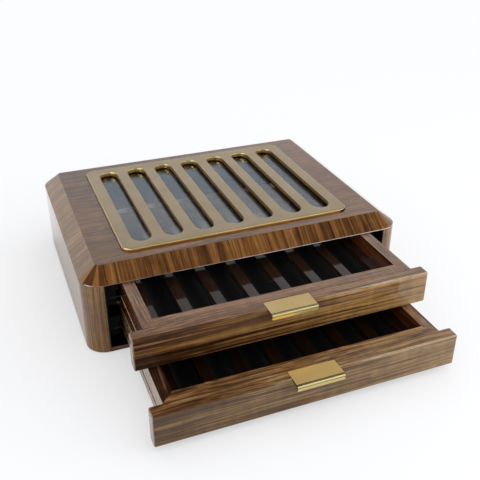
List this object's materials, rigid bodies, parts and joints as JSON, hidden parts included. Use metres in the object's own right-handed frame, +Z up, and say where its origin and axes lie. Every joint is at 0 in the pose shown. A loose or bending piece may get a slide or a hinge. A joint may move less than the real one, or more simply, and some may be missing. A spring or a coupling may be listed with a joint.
{
  "type": "pen display case",
  "caption": "Low walnut display case for pens with a glazed brass window plate in its top and two shallow pull-out drawers with pen troughs.",
  "frame": {"origin": "middle of the felt underside, on the surface that the case stands on, below the middle of the case without its open drawers", "axes": "+X to the right as seen from the front, +Y from the drawer fronts to the back of the case, +Z up"},
  "size_m": [0.3, 0.3642, 0.0825],
  "materials": {
    "walnut": "clear lacquer on walnut veneer",
    "beech": "plain turned beech",
    "plate_brass": "satin brushed and lacquered",
    "pull_brass": "satin brushed and lacquered",
    "pin_brass": "turned",
    "steel": "zinc plated",
    "glass": "clear float glass",
    "black_lining": "black lacquered sheet",
    "black_batten": "black stained hardwood",
    "suede": "black suede cloth on a shaped core",
    "felt": "dark felt",
    "bumper_rubber": "moulded rubber"
  },
  "bodies": {
    "case": {"case_base": "walnut", "base_felt": "felt", "case_side_left": "walnut", "case_side_right": "walnut", "case_back": "walnut", "case_top": "walnut", "back_dowels": "beech", "top_dowels": "beech", "base_screws": "steel", "side_lining_left": "black_lining", "side_lining_right": "black_lining", "back_lining": "black_lining", "window_plate": "plate_brass", "window_glass": "glass", "plate_screws": "steel", "upper_battens": "black_batten", "lower_battens": "black_batten", "upper_runners": "steel", "lower_runners": "steel", "batten_screws": "steel", "stop_blocks": "black_batten", "closing_bumpers": "bumper_rubber"},
    "upper_drawer": {"upper_front": "walnut", "upper_pull": "pull_brass", "upper_box_front": "walnut", "upper_box_left": "walnut", "upper_box_right": "walnut", "upper_box_back": "walnut", "upper_bottom": "walnut", "upper_lands": "walnut", "upper_trough_linings": "suede", "upper_front_screws": "steel", "upper_stop_pins": "pin_brass"},
    "lower_drawer": {"lower_front": "walnut", "lower_pull": "pull_brass", "lower_box_front": "walnut", "lower_box_left": "walnut", "lower_box_right": "walnut", "lower_box_back": "walnut", "lower_bottom": "walnut", "lower_lands": "walnut", "lower_trough_linings": "suede", "lower_front_screws": "steel", "lower_stop_pins": "pin_brass"}
  },
  "joints": [
    {"name": "upper_drawer_slide", "type": "slide", "parent": "case", "child": "upper_drawer", "axis": [0, -1, 0], "range_m": [-0.0775, 0.0625]},
    {"name": "lower_drawer_slide", "type": "slide", "parent": "case", "child": "lower_drawer", "axis": [0, -1, 0], "range_m": [-0.1255, 0.0145]}
  ]
}
